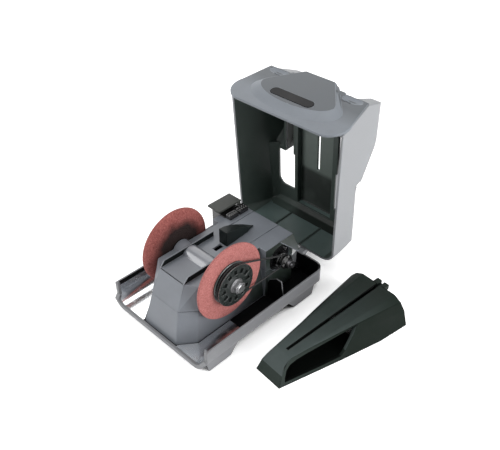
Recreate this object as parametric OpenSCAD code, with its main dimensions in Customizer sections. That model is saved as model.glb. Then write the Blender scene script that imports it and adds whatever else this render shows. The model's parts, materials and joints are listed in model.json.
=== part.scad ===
// Electric knife sharpener, opened: swung-back lid, twin abrasive discs on a belt-driven
// spindle, and the loose knife guide lying beside it. Millimetres, +Z up.

/* [Tray] */
// Half width of the trough-shaped base
tray_half_w = 63.5; // [60:0.5:75]
// Height of the tray's rim above the table
tray_rim_z = 26; // [22:0.5:34]
// Underside of the trough
tray_bottom_z = 2.2; // [1.5:0.1:4]
// Wall and floor thickness of the tray
tray_wall = 2.5; // [1.8:0.1:3.2]
// Radius of the trough's lower corners
tray_corner_r = 15; // [10:0.5:18]
// Radius of the rear corners seen from above
tray_plan_r = 11; // [6:0.5:16]
// Distance from the spindle forward to the open front edge
tray_front = 57.5; // [56:0.5:70]
// Distance from the spindle back to the outside of the rear wall
tray_rear = 101.5; // [101:0.5:112]
// How far the upper front edge of the side walls is set back
tray_setback = 4; // [2:0.5:8]

/* [Feet] */
// Length of each moulded foot along the tray
foot_len = 26; // [18:1:32]
// Width of each moulded foot
foot_w = 20; // [12:1:24]
// Thickness of the rubber pad under each foot
pad_t = 1; // [0.6:0.1:1.6]
// Height where a foot blends into the side wall
foot_top_z = 15.6; // [12:0.2:20]

/* [Discs and spindle] */
// Diameter of the abrasive discs
disc_d = 75; // [66:0.5:78]
// Distance from the middle to each disc's flat outer face
disc_face_x = 37.6; // [37:0.1:40]
// How far a disc domes towards the middle
disc_dome = 7; // [5:0.1:7.5]
// Rim thickness of a disc
disc_rim_t = 1.2; // [0.8:0.1:2]
// Height of the spindle above the table
spindle_z = 55.6; // [52:0.2:58]
// Diameter of the spindle
spindle_d = 8; // [6:0.5:10]
// Outside diameter of the spindle bearings
bearing_d = 16; // [14:0.5:18]
// Outside diameter of the bearing tube
bearing_tube_d = 20; // [19.5:0.5:22]
// Width of each bearing
bearing_w = 5; // [4:0.5:7]
// Running clearance of the spindle and of the motor shaft, on the radius
running_gap = 0.05; // [0.02:0.01:0.1]

/* [Drive] */
// Radius of the driven pulley
drive_pulley_r = 20.7; // [18:0.1:22]
// Width of the driven pulley
drive_pulley_w = 7; // [6:0.1:7.5]
// Depth of both belt grooves
groove_depth = 2.4; // [2:0.1:3]
// Radius of the motor pulley
motor_pulley_r = 7; // [6:0.1:9]
// Width of the motor pulley
motor_pulley_w = 9.6; // [8:0.2:11]
// Diameter of the round belt
belt_d = 1.7; // [1.4:0.1:2.4]
// Gap between the belt and its grooves
belt_gap = 0.3; // [0.2:0.05:0.5]
// Motor axis behind the spindle
motor_y = 66; // [60:0.5:66.5]
// Motor axis above the table
motor_z = 42; // [36:0.5:44]
// Diameter of the motor can
motor_d = 31; // [26:1:31]
// Length of the motor can
motor_len = 50; // [40:1:54]
// Diameter of the motor shaft
motor_shaft_d = 5; // [4:0.2:6]

/* [Housing] */
// Height of the housing's flat top
housing_top_z = 60.5; // [59:0.5:62]
// Height of the seam between the lower and the upper shell
housing_seam_z = 36; // [30:0.5:42]
// Wall thickness of the housing shells
housing_wall = 2.2; // [1.6:0.1:3]
// Half width of the front face at the bottom
front_half_w = 21.3; // [18:0.1:24]
// Half width of the front section at the bottom
nose_half_w = 33.5; // [31:0.1:34]
// Half width of the rear section
rear_half_w = 35.5; // [35:0.1:37]
// Where the wider rear section begins, behind the spindle
rear_step_y = 47; // [44:0.5:48]
// Rear face of the housing, behind the spindle
housing_rear_y = 84.5; // [83:0.1:85]
// Half width of the two fins' spacing on the roof
rib_x = 15.8; // [13:0.1:18]
// Thickness of each roof rib
rib_t = 1.5; // [1:0.1:2.5]
// Height of the roof ribs above the flat top
rib_h = 5.5; // [4:0.1:6.5]
// Front of the fin that the guide locates on, behind the spindle
fin_front_y = 26.8; // [24:0.1:30]
// Length of the fin
fin_len = 39.8; // [30:0.1:44]
// Height of the fin above the flat top
fin_h = 15.9; // [10:0.1:16.5]
// Half width of the fin
fin_half_w = 5; // [3:0.1:8]

/* [Lid] */
// Angle through which the lid swings from closed to open
lid_open = 86.7; // [70:0.1:95]
// Hinge axis behind the spindle
hinge_y = 97.4; // [97:0.1:97.6]
// Hinge axis above the table
hinge_z = 9.8; // [9.6:0.1:11]
// Diameter of the hinge pins
hinge_pin_d = 3; // [2.4:0.1:3.4]
// Gap between the lid's edge and the tray's rim
lid_gap = 0.6; // [0.4:0.1:1.5]
// Wall thickness of the lid
lid_wall = 2.5; // [1.8:0.1:3]
// Top of the lid's two front rails when closed
rail_top_z = 103.5; // [98:0.5:106]
// Half width of the lid's rear end along its lower edge
lid_half_w = 63; // [61:0.5:66]
// Angle by which each side of the lid opens out towards the front
lid_taper = 1.55; // [0.5:0.05:2]
// Half width of the lid's rear end at the height of the rails
rail_half_w = 48.5; // [47:0.5:52]
// Half width of the channel between the rails
channel_half_w = 38.8; // [38.6:0.1:40]
// Top of the lid's shoulders when closed
shoulder_z = 74.5; // [73:0.5:78]
// Top of the middle deck when closed
deck_z = 81; // [80:0.5:84]
// Half width of the middle deck
deck_half_w = 24.5; // [20:0.5:26]
// Outside of the lid's rear wall when closed
lid_rear_y = 88.5; // [88:0.1:90]
// Thickness of the lid's front panel
panel_t = 2.8; // [2:0.1:4]

/* [Knife guide] */
// Length of the loose guide
guide_len = 138.7; // [110:0.5:150]
// Half width of the guide's nose
guide_nose_w = 14.5; // [11:0.5:17]
// Half width of the guide's rear end
guide_rear_w = 36.9; // [30:0.1:38]
// Height of the guide's nose
guide_nose_z = 20; // [16:0.5:22]
// Height of the guide's rear end
guide_rear_z = 25.5; // [23.5:0.5:30]
// Wall thickness of the guide
guide_wall = 2.4; // [1.6:0.1:3]
// Width of the slot along the guide's top
guide_slot_w = 3.2; // [1.6:0.1:3.4]
// Place of the nose, to the right of the spindle's middle
guide_x = 102.2; // [96:0.2:115]
// Place of the nose, behind the spindle
guide_y = -20.9; // [-30:0.1:0]
// Angle between the guide and the machine
guide_turn = 5; // [0:0.5:12]

/* [Hidden] */

$fn = 64;
eps = 0.01;

// Tray
tray_floor_z = tray_bottom_z + tray_wall;
tray_in_w = tray_half_w - tray_wall;
tray_in_rear = tray_rear - tray_wall;
setback_z = 13;
lip_len = 3;
lip_t = 1.8;
foot_flush = 1.1;
foot_slope = 12.7;
front_foot_y = -50.8;
rear_foot_y = 59;
pad_inset = 1.5;
guard_t = 0.6;
guard_rear_y = 1;
bulkhead_y = 49;
bulkhead_t = 1.6;

// Housing outline, half of each level from the front corner to the side
seam_front_w = front_half_w - 3.9;
top_front_w = front_half_w - 5.3;
front_y = [-53.2, -45, -34.5];
corner_y = [-37.5, -31.4, -27.3];
housing_bottom_z = tray_floor_z;
rear_wall_in = rear_half_w - housing_wall;
motor_port_r = motor_d / 2 - 2;
shoulder_start_y = 66;
shoulder_drop = 14;
shoulder_out = 9;
rib_front_y = -34.5;
rib_rear_y = 29.5;
groove_w = 1;
base_screw_x = 26;
base_screw_h = 1;
base_screw_r = 3;
base_screw_rows = [-28, rear_step_y + 10];

// Spindle stations, measured from the middle outwards
disc_inner_x = disc_face_x - disc_rim_t - disc_dome;
hub_r = 9;
seam_half_w = disc_inner_x - 0.3;
top_half_w = disc_inner_x - 2.2;
tube_end_x = disc_inner_x - 1.6;
bearing_out_x = tube_end_x - 1;
pulley_x = disc_face_x;
belt_x = pulley_x + drive_pulley_w / 2;
nut_x = pulley_x + drive_pulley_w;
nut_len = 5.5;
left_nut_x = disc_face_x;
nut_r = 6;
spindle_end_x = nut_x + nut_len + 1;

// Belt run between the two pulleys
big_run_r = drive_pulley_r - groove_depth + belt_gap + belt_d / 2;
small_run_r = motor_pulley_r - groove_depth + belt_gap + belt_d / 2;
centre_dy = motor_y;
centre_dz = motor_z - spindle_z;
centre_gap = sqrt(centre_dy * centre_dy + centre_dz * centre_dz);
centre_angle = atan2(centre_dz, centre_dy);
wrap_angle = asin((big_run_r - small_run_r) / centre_gap);

// Motor stations along its shaft
plate_t = 2;
plate_x = rear_wall_in - plate_t;
can_front_x = plate_x;
can_rear_x = can_front_x - motor_len;
cap_t = 4;
motor_shaft_end_x = belt_x + motor_pulley_w / 2 + 6.6;

// Switch at the left rear of the roof
box_right_x = -rear_half_w + 14.5;
box_left_x = -rear_half_w - 10.5;
box_front_y = 56;
box_rear_y = housing_rear_y - 2.9;
box_top_z = housing_top_z + 5.2;
button_t = 2;
button_gap = 0.6;
button_right_x = -rear_half_w + 4.5;
button_left_x = -rear_half_w - 12.5;
button_front_y = 52;
button_pin_r = 1;
button_pivot_y = box_rear_y - 3;
button_pivot_z = box_top_z - 2;
box_step = 4;
block_len = 11.5;
block_w = 6.5;
block_h = 4.4;
bead_r = 1.15;

// Lid, described as it sits when closed
lid_edge_z = tray_rim_z + lid_gap;
panel_lean = 0.115;
panel_foot_z = 15;
panel_foot_y = -tray_front - 1.7;
panel_back_z = 73.6;
panel_step_z = 75.6;
panel_crest_z = 78.8;
panel_crest_w = 21;
panel_lip_r = 19;
dish_r = 6;
dish_depth = 2.2;
dish_x = 43.4;
dish_y = 54.4;
dish_arc = 30;
slope_rate = 0.877;
rail_rear_y = -15;
rail_front_y = -54.3;
shoulder_front_y = rail_rear_y + (rail_top_z - shoulder_z) / slope_rate;
lid_draft = (lid_half_w - rail_half_w) / (rail_top_z - lid_edge_z);
lid_front_w = lid_half_w / cos(lid_taper) + (lid_rear_y - panel_y(lid_edge_z)) * tan(lid_taper);
disc_slot_in = disc_inner_x - 1;
hood_gap = 2.2;
hood_t = 1.6;
cheek_t = 1.2;
disc_slot_front = -disc_d / 2 + 0.5;
window_rear_y = 64;
window_in_x = deck_half_w + 2;
window_out_x = 48;
window_r = 9;
deck_slot_w = 2.6;
arm_in_x = 20;
arm_w = 8;
arm_gap = 0.5;
lug_w = 4;
knuckle_r = hinge_pin_d / 2 + 2.2;
badge_w = 49;
badge_h = 10;
badge_t = 0.8;
screw_h = 1.6;
panel_screw_r = 2.2;
panel_screw_x = lid_half_w - 13;
panel_screw_rows = [20, 48];

function panel_y(z) = panel_foot_y - panel_lean * (z - panel_foot_z);
panel_tilt = atan(panel_lean);
panel_rise = 1 / cos(panel_tilt);

// Guide
guide_top_front_w = 9.3;
guide_top_rear_w = 19.4;
guide_nose_run = 14;
guide_shoulder_w = guide_rear_w - 4.6;
guide_shoulder_z = 15;
guide_key_w = 14;
guide_key_len = 7.4;
web_end = guide_len * 0.64;
web_t = 1.8;

// Frame: the box of the whole set is centred on X and Y and stands on Z = 0
guide_corner_x = guide_x + guide_len * sin(guide_turn) + guide_rear_w * cos(guide_turn);
lid_back_y = hinge_y + (rail_top_z - hinge_z) * sin(lid_open) + (rail_rear_y - hinge_y) * cos(lid_open);
frame_x = (guide_corner_x - lid_front_w) / 2;
frame_y = (lid_back_y - tray_front) / 2;
echo(offset = [frame_x, frame_y], corner = guide_corner_x, hinge = [hinge_y, hinge_z],
  pivot = [button_pivot_y, button_pivot_z], belt = [belt_x, big_run_r, small_run_r]);

module in_frame() {
  translate([-frame_x, -frame_y, 0]) children();
}

module both_sides() {
  children();
  mirror([1, 0, 0]) children();
}

// A drawing in X and Z, pulled along Y
module along_y(y0, y1) {
  translate([0, y1, 0]) rotate([90, 0, 0]) linear_extrude(y1 - y0) children();
}

// A drawing in Y and Z, pulled along X
module along_x(x0, x1) {
  translate([x0, 0, 0]) rotate([90, 0, 90]) linear_extrude(x1 - x0) children();
}

module rod_x(r, x0, x1, y, z) {
  translate([x0, y, z]) rotate([0, 90, 0]) cylinder(r = r, h = x1 - x0);
}

module block(x0, x1, y0, y1, z0, z1) {
  translate([x0, y0, z0]) cube([x1 - x0, y1 - y0, z1 - z0]);
}

// The trough's section: straight sides and rounded lower corners
module trough_section(half_w, z0, z1, r) {
  translate([-half_w, z0 + r]) square([2 * half_w, z1 - z0 - r]);
  translate([-half_w + r, z0]) square([2 * (half_w - r), r + eps]);
  for (side = [-1, 1]) translate([side * (half_w - r), z0 + r]) circle(r);
}

// A plan with square front corners and round rear corners
module round_back_plan(half_w, y0, y1, r) {
  translate([-half_w, y0]) square([2 * half_w, y1 - y0 - r]);
  translate([-half_w + r, y1 - r - eps]) square([2 * (half_w - r), r + eps]);
  for (side = [-1, 1]) translate([side * (half_w - r), y1 - r]) circle(r);
}

module trough(half_w, y0, y1, z0, z1, corner_r, plan_r) {
  intersection() {
    along_y(y0, y1) trough_section(half_w, z0, z1, corner_r);
    translate([0, 0, z0 - 1]) linear_extrude(z1 - z0 + 2) round_back_plan(half_w, y0, y1, plan_r);
  }
}

module tray_hollow() {
  trough(tray_in_w, -tray_front - 5, tray_in_rear, tray_floor_z, tray_rim_z + 20,
    tray_corner_r - tray_wall, tray_plan_r - tray_wall);
}

// Zone behind the tray's front edge, as deep as reach
module front_cut(reach) {
  low_y = -tray_front + reach;
  high_y = low_y + tray_setback;
  along_x(-tray_half_w, tray_half_w)
    polygon([[-tray_front - 6, 0], [low_y, 0], [low_y, setback_z - 4], [high_y, setback_z],
      [high_y, tray_rim_z + 30], [-tray_front - 6, tray_rim_z + 30]]);
}

// Thicker edge that runs round the open front of the trough
module front_lip() difference() {
  front_cut(lip_len);
  trough(tray_in_w - lip_t, -tray_front - 8, tray_in_rear, tray_floor_z + lip_t, tray_rim_z + 40,
    tray_corner_r - tray_wall - lip_t, tray_plan_r - tray_wall - lip_t);
}

// One moulded foot on the right side; toe is +1 where the slope faces the rear
module foot_block(y0, toe) {
  y1 = y0 + foot_len;
  slope_y = toe > 0 ? y1 + foot_slope : y0 - foot_slope;
  upright_y = toe > 0 ? y0 - 3 : y1 + 3;
  flat_end = toe > 0 ? y1 : y0;
  flat_start = toe > 0 ? y0 : y1;
  along_x(tray_half_w - foot_flush - foot_w, tray_half_w - foot_flush)
    polygon([[flat_start, pad_t], [flat_end, pad_t], [slope_y, foot_top_z], [upright_y, foot_top_z]]);
}

module hinge_lugs() {
  lug_y0 = hinge_y - knuckle_r;
  for (x0 = [arm_in_x - arm_gap - lug_w, arm_in_x + arm_w + arm_gap]) {
    block(x0, x0 + lug_w, lug_y0, tray_in_rear + eps, tray_floor_z - eps, hinge_z + knuckle_r);
  }
}

module base_tray() color("lightgray") in_frame() {
  difference() {
    union() {
      difference() {
        union() {
          trough(tray_half_w, -tray_front, tray_rear, tray_bottom_z, tray_rim_z, tray_corner_r, tray_plan_r);
          both_sides() foot_block(front_foot_y, 1);
          both_sides() foot_block(rear_foot_y, -1);
        }
        difference() {
          tray_hollow();
          front_lip();
        }
        along_x(-tray_half_w - 1, tray_half_w + 1)
          polygon([[-tray_front - 1, setback_z - 4], [-tray_front + tray_setback, setback_z],
            [-tray_front + tray_setback, tray_rim_z + 1], [-tray_front - 1, tray_rim_z + 1]]);
      }
      both_sides() hinge_lugs();
      along_y(bulkhead_y, bulkhead_y + bulkhead_t)
        polygon([[rear_half_w + 1, tray_floor_z - eps], [tray_half_w - 6, tray_floor_z - eps],
          [tray_half_w - 7, 15], [53.4, 33], [47, 33], [rear_half_w + 3, 27], [rear_half_w + 1, 22]]);
    }
    both_sides() block(arm_in_x - arm_gap, arm_in_x + arm_w + arm_gap, hinge_y - knuckle_r - 1,
      tray_rear + 1, tray_floor_z, tray_rim_z + 1);
    both_sides() rod_x(hinge_pin_d / 2 + running_gap, arm_in_x - lug_w - 1, arm_in_x + arm_w + lug_w + 1,
      hinge_y, hinge_z);
  }
}

module foot_pads() color("dimgray") in_frame() both_sides() {
  for (y0 = [front_foot_y, rear_foot_y]) {
    block(tray_half_w - foot_flush - foot_w + pad_inset, tray_half_w - foot_flush - pad_inset,
      y0 + pad_inset, y0 + foot_len - pad_inset, 0, pad_t);
  }
}

// Bright sheet along one side of the trough, beside the housing
module spark_guard() {
  guard_r = tray_corner_r - tray_wall;
  difference() {
    intersection() {
      trough(tray_in_w - eps, -tray_front, guard_rear_y + 20, tray_floor_z, tray_rim_z - 4, guard_r, guard_t);
      block(front_half_w + 2, tray_half_w, -tray_front, guard_rear_y, 0, tray_rim_z);
    }
    front_cut(lip_len + 0.3);
    linear_extrude(tray_rim_z) nose_plan(0, -1);
    trough(tray_in_w - guard_t, -tray_front - 1, guard_rear_y + 40, tray_floor_z + guard_t,
      tray_rim_z + 1, guard_r - guard_t, guard_t);
  }
}

module left_spark_guard() color("white") in_frame() mirror([1, 0, 0]) spark_guard();
module right_spark_guard() color("white") in_frame() spark_guard();

// Plan of the housing's front section at one level, drawn in by inset
module nose_plan(level, inset) {
  front_w = [front_half_w, seam_front_w, top_front_w][level] - inset * 0.5;
  side_w = [nose_half_w, seam_half_w, top_half_w][level] - inset;
  y0 = front_y[level] + inset;
  y1 = corner_y[level] + inset * 0.5;
  y2 = rear_step_y + (inset > 0 ? housing_wall + 1 : 1);
  polygon([[-front_w, y0], [front_w, y0], [side_w, y1], [side_w, y2], [-side_w, y2], [-side_w, y1]]);
}

module nose_loft(low, high, z0, z1, inset) {
  hull() {
    translate([0, 0, z0]) linear_extrude(eps) nose_plan(low, inset);
    translate([0, 0, z1 - eps]) linear_extrude(eps) nose_plan(high, inset);
  }
}

module motor_port() {
  rod_x(motor_port_r, rear_wall_in - 1, rear_half_w + 1, motor_y, motor_z);
}

module lower_housing() color("gray") in_frame() difference() {
  union() {
    nose_loft(0, 1, housing_bottom_z, housing_seam_z, 0);
    block(-rear_half_w, rear_half_w, rear_step_y, housing_rear_y, housing_bottom_z, housing_seam_z);
  }
  translate([0, 0, -eps]) nose_loft(0, 1, housing_bottom_z, housing_seam_z + 3 * eps, housing_wall);
  block(-rear_wall_in, rear_wall_in, rear_step_y + housing_wall, housing_rear_y - housing_wall,
    housing_bottom_z - 1, housing_seam_z + 1);
  motor_port();
}

// Flared corner that widens the rear of the housing under its roof
module rear_shoulder() {
  z1 = housing_top_z - eps;
  z0 = housing_top_z - shoulder_drop;
  x0 = rear_half_w - eps;
  hull() {
    translate([x0, shoulder_start_y, z1 - eps]) cube(eps);
    translate([x0, housing_rear_y - eps, z1 - eps]) cube(eps);
    translate([x0, housing_rear_y - eps, z0 - 4]) cube(eps);
    translate([x0 + shoulder_out, housing_rear_y - 3, z0]) cube([eps, 3, eps]);
  }
}

module roof_rib() {
  along_x(rib_x - rib_t / 2, rib_x + rib_t / 2)
    polygon([[rib_front_y, housing_top_z - eps], [rib_rear_y, housing_top_z - eps],
      [rib_rear_y, housing_top_z + rib_h], [rib_front_y + 5, housing_top_z + rib_h]]);
}

module upper_housing() color("slategray") in_frame() difference() {
  union() {
    difference() {
      union() {
        nose_loft(1, 2, housing_seam_z, housing_top_z, 0);
        block(-rear_half_w, rear_half_w, rear_step_y, housing_rear_y, housing_seam_z, housing_top_z);
        rear_shoulder();
      }
      translate([0, 0, -eps]) nose_loft(1, 2, housing_seam_z, housing_top_z - housing_wall, housing_wall);
      block(-rear_wall_in, rear_wall_in, rear_step_y + housing_wall, housing_rear_y - housing_wall,
        housing_seam_z - 1, housing_top_z - housing_wall);
    }
    both_sides() roof_rib();
    rod_x(bearing_tube_d / 2, -tube_end_x, tube_end_x, 0, spindle_z);
  }
  rod_x(bearing_d / 2, -tube_end_x - 5, tube_end_x + 5, 0, spindle_z);
  block(-2.5, 2.5, 16, 26, housing_top_z - 5, housing_top_z + 1);
  both_sides() block(rib_x, rib_x + groove_w, rear_step_y - 7, housing_rear_y + 1,
    housing_top_z - groove_w, housing_top_z + 1);
  motor_port();
}

module base_screws() color("silver") in_frame() both_sides() {
  for (y = base_screw_rows) {
    translate([base_screw_x, y, tray_bottom_z - base_screw_h]) difference() {
      cylinder(r = base_screw_r, h = base_screw_h);
      translate([-groove_w / 2, -base_screw_r, -base_screw_h / 2])
        cube([groove_w, 2 * base_screw_r, base_screw_h]);
    }
  }
}

module guide_fin() color("dimgray") in_frame() intersection() {
  crest = [[0, 1], [0.15, 0.96], [0.3, 0.85], [0.5, 0.67], [0.76, 0.35], [1, 0.03]];
  half = [[0, 1], [0.23, 1], [0.73, 0.68], [1, 0.12]];
  along_x(-fin_half_w, fin_half_w) polygon(concat([[fin_front_y, housing_top_z]],
    [for (p = crest) [fin_front_y + p[0] * fin_len, housing_top_z + p[1] * fin_h]],
    [[fin_front_y + fin_len, housing_top_z]]));
  translate([0, 0, housing_top_z - eps]) linear_extrude(fin_h + 2 * eps)
    polygon(concat([for (p = half) [p[1] * fin_half_w, fin_front_y + p[0] * fin_len]],
      [for (i = [len(half) - 1:-1:0]) [-half[i][1] * fin_half_w, fin_front_y + half[i][0] * fin_len]]));
}

// A ball bearing's two races and shields as one ring
module bearing() {
  translate([bearing_out_x - bearing_w, 0, spindle_z]) rotate([0, 90, 0]) difference() {
    cylinder(r = bearing_d / 2 - running_gap / 2, h = bearing_w);
    translate([0, 0, -1]) cylinder(r = spindle_d / 2 + running_gap, h = bearing_w + 2);
  }
}

module left_bearing() color("silver") in_frame() mirror([1, 0, 0]) bearing();
module right_bearing() color("silver") in_frame() bearing();

module spindle_shaft() color("silver") in_frame()
  rod_x(spindle_d / 2, -left_nut_x - nut_len - 1, spindle_end_x, 0, spindle_z);

// A disc with a flat outer face and a domed face towards the middle
module disc() {
  r1 = disc_d / 2;
  steps = 14;
  dome = [for (i = [0:steps]) let (a = 90 * i / steps)
    [hub_r + running_gap + (r1 - hub_r - running_gap) * sin(a), disc_dome * (1 - cos(a))]];
  translate([disc_inner_x, 0, spindle_z]) rotate([0, 90, 0])
    rotate_extrude() polygon(concat(dome, [[r1, disc_dome + disc_rim_t],
      [hub_r + running_gap, disc_dome + disc_rim_t]]));
}

module left_disc() color("firebrick") in_frame() mirror([1, 0, 0]) disc();
module right_disc() color("salmon") in_frame() disc();

module disc_hub() {
  translate([tube_end_x + 0.6, 0, spindle_z]) rotate([0, 90, 0]) difference() {
    cylinder(r = hub_r, h = disc_face_x - tube_end_x - 0.6);
    translate([0, 0, -1]) cylinder(r = spindle_d / 2 + running_gap / 2, h = 40);
  }
}

module left_disc_hub() color("dimgray") in_frame() mirror([1, 0, 0]) disc_hub();
module right_disc_hub() color("dimgray") in_frame() disc_hub();

// Groove for the round belt, as a ring to cut from a pulley
module belt_groove(r, w) {
  rotate_extrude() translate([r, 0])
    polygon([[-groove_depth, -belt_d / 2 - belt_gap], [1, -w / 2 + 0.6], [1, w / 2 - 0.6],
      [-groove_depth, belt_d / 2 + belt_gap]]);
}

module drive_pulley() color("black") in_frame() translate([belt_x, 0, spindle_z]) rotate([0, 90, 0]) {
  pockets = 12;
  pocket_in = 11.8;
  difference() {
    translate([0, 0, -drive_pulley_w / 2]) cylinder(r = drive_pulley_r, h = drive_pulley_w);
    belt_groove(drive_pulley_r, drive_pulley_w);
    translate([0, 0, -20]) cylinder(r = spindle_d / 2 + running_gap / 2, h = 40);
    for (i = [0:pockets - 1]) rotate(i * 360 / pockets) {
      translate([pocket_in, -1.9, drive_pulley_w / 2 - 3])
        cube([drive_pulley_r - groove_depth - 1.6 - pocket_in, 3.8, 4]);
    }
  }
}

module spindle_nut() {
  rotate([0, 90, 0]) difference() {
    union() {
      cylinder(r = nut_r + 1.2, h = 1.2);
      cylinder(r = nut_r, h = nut_len, $fn = 6);
    }
    translate([0, 0, -1]) cylinder(r = spindle_d / 2 + running_gap / 2, h = nut_len + 2);
  }
}

module left_spindle_nut() color("silver") in_frame()
  mirror([1, 0, 0]) translate([left_nut_x, 0, spindle_z]) spindle_nut();
module right_spindle_nut() color("silver") in_frame() translate([nut_x, 0, spindle_z]) spindle_nut();

// The belt's run drawn flat, both pulley radii grown by the same amount
module belt_run(grow) {
  big_r = big_run_r + grow;
  small_r = small_run_r + grow;
  start = 90 - wrap_angle;
  steps = 36;
  polygon(concat(
    [for (i = [0:steps]) let (a = start + i * (360 - 2 * start) / steps) [big_r * cos(a), big_r * sin(a)]],
    [for (i = [0:steps]) let (a = -start + i * 2 * start / steps)
      [centre_gap + small_r * cos(a), small_r * sin(a)]]));
}

module drive_belt() color("dimgray") in_frame() translate([0, 0, spindle_z]) rotate([centre_angle, 0, 0])
  along_x(belt_x - belt_d / 2, belt_x + belt_d / 2) difference() {
    belt_run(belt_d / 2);
    belt_run(-belt_d / 2);
  }

module motor_can() color("silver") in_frame() difference() {
  rod_x(motor_d / 2, can_rear_x, can_front_x, motor_y, motor_z);
  rod_x(motor_shaft_d / 2 + running_gap, can_rear_x - 1, can_front_x + 1, motor_y, motor_z);
}

module motor_front_plate() color("black") in_frame() difference() {
  rod_x(motor_d / 2 - 0.5, plate_x, plate_x + plate_t, motor_y, motor_z);
  rod_x(motor_shaft_d / 2 + running_gap, plate_x - 1, plate_x + plate_t + 1, motor_y, motor_z);
}

module motor_rear_cap() color("black") in_frame() difference() {
  rod_x(motor_d / 2 - 1, can_rear_x - cap_t, can_rear_x, motor_y, motor_z);
  rod_x(motor_shaft_d / 2 + running_gap, can_rear_x - cap_t - 1, can_rear_x + 1, motor_y, motor_z);
}

module motor_screws() color("silver") in_frame() {
  for (a = [30, 150, 270]) {
    rod_x(1.6, plate_x + plate_t, plate_x + plate_t + 1.4, motor_y + 11 * cos(a), motor_z + 11 * sin(a));
  }
}

module motor_shaft() color("silver") in_frame()
  rod_x(motor_shaft_d / 2, can_rear_x - cap_t, motor_shaft_end_x, motor_y, motor_z);

module motor_pulley() color("black") in_frame() translate([belt_x, motor_y, motor_z]) rotate([0, 90, 0]) {
  lobes = 3;
  difference() {
    union() {
      translate([0, 0, -drive_pulley_w / 2]) cylinder(r = motor_pulley_r, h = drive_pulley_w);
      translate([0, 0, drive_pulley_w / 2])
        cylinder(r = motor_pulley_r - 1.5, h = motor_pulley_w - drive_pulley_w);
      for (i = [0:lobes - 1]) rotate(i * 360 / lobes + 40) {
        translate([motor_pulley_r - 1.5, 0, drive_pulley_w / 2])
          cylinder(r = 2.4, h = motor_pulley_w - drive_pulley_w);
      }
    }
    belt_groove(motor_pulley_r, drive_pulley_w);
    translate([0, 0, -20]) cylinder(r = motor_shaft_d / 2 + running_gap / 2, h = 60);
  }
}

module pulley_screw() color("silver") in_frame() difference() {
  screw_x = belt_x - drive_pulley_w / 2 + motor_pulley_w;
  rod_x(motor_shaft_d / 2 + 1.8, screw_x, screw_x + 3, motor_y, motor_z);
  rod_x(motor_shaft_d / 2 + running_gap / 2, screw_x - 1, screw_x + 4, motor_y, motor_z);
}

module switch_box() color("black") in_frame() difference() {
  cheek_y = button_pivot_y - 3.4;
  inner_x = box_right_x - block_w;
  union() {
    block(box_left_x, inner_x, box_front_y, box_rear_y, housing_top_z, box_top_z - box_step);
    block(box_left_x, box_left_x + 2, cheek_y, box_rear_y, housing_top_z, box_top_z);
    block(inner_x - 2, inner_x, cheek_y, box_rear_y, housing_top_z, box_top_z);
    block(box_left_x, -rear_half_w, box_front_y, box_rear_y, housing_top_z - 20, housing_top_z + eps);
  }
  rod_x(button_pin_r + running_gap, box_left_x - 1, box_right_x + 1, button_pivot_y, button_pivot_z);
}

module power_button() color("darkslategray") in_frame() {
  lug_x0 = box_left_x + 2.4;
  lug_x1 = box_right_x - block_w - 2.4;
  difference() {
    union() {
      block(button_left_x, button_right_x, button_front_y, box_rear_y, box_top_z + button_gap,
        box_top_z + button_gap + button_t);
      for (x0 = [lug_x0, lug_x1 - 2]) {
        block(x0, x0 + 2, button_pivot_y - 1.7, button_pivot_y + 1.7, button_pivot_z - 1.7,
          box_top_z + button_gap + eps);
      }
    }
    rod_x(button_pin_r + running_gap, lug_x0 - 1, lug_x1 + 1, button_pivot_y, button_pivot_z);
  }
}

module button_pin() color("silver") in_frame()
  rod_x(button_pin_r, box_left_x, box_right_x - block_w, button_pivot_y, button_pivot_z);

module terminal_block(y0) {
  block(box_right_x - block_w + eps, box_right_x, y0, y0 + block_len, housing_top_z, housing_top_z + block_h);
}

front_block_y = box_front_y + 1;
rear_block_y = box_rear_y - block_len;

module front_terminal_block() color("black") in_frame() terminal_block(front_block_y);
module rear_terminal_block() color("black") in_frame() terminal_block(rear_block_y);

module terminal_screws() color("black") in_frame() {
  for (y0 = [front_block_y, rear_block_y], i = [0:3], j = [0:1]) {
    translate([box_right_x - block_w + 1.7 + j * 3, y0 + 1.7 + i * 2.7, housing_top_z + block_h])
      cylinder(r = bead_r, h = 0.9);
  }
}

module hinge_pins() color("silver") in_frame() both_sides()
  rod_x(hinge_pin_d / 2, arm_in_x - arm_gap - lug_w, arm_in_x + arm_w + arm_gap + lug_w, hinge_y, hinge_z);

// Turns what is drawn as closed to the open pose
module swung_open() {
  in_frame() translate([0, hinge_y, hinge_z]) rotate([-lid_open, 0, 0]) translate([0, -hinge_y, -hinge_z])
    children();
}

// Outline of the lid from the side; w draws it in for the hollow
module lid_side(w) {
  polygon([[panel_y(lid_edge_z - w) + w, lid_edge_z - w], [panel_y(panel_back_z) + w, panel_back_z],
    [panel_y(panel_back_z) + w + 2, panel_back_z + 6], [rail_front_y + w, rail_top_z - w],
    [rail_rear_y - w * 0.5, rail_top_z - w], [shoulder_front_y - w * 0.5, shoulder_z - w],
    [lid_rear_y - 6 - w, shoulder_z - w], [lid_rear_y - 2 - w, shoulder_z - 4 - w],
    [lid_rear_y - w, shoulder_z - 12 - w], [lid_rear_y - w, lid_edge_z - w]]);
}

// Section across the machine with the lid's right side wall, which leans in towards its top
module lid_section(w) {
  bottom_w = lid_half_w - w + lid_draft * w;
  top_w = rail_half_w - w;
  far = 3 * lid_half_w;
  polygon([[-far, lid_edge_z - w], [bottom_w, lid_edge_z - w], [top_w + 0.8, rail_top_z - 6],
    [top_w - 1.6, rail_top_z - w], [-far, rail_top_z - w]]);
}

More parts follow.
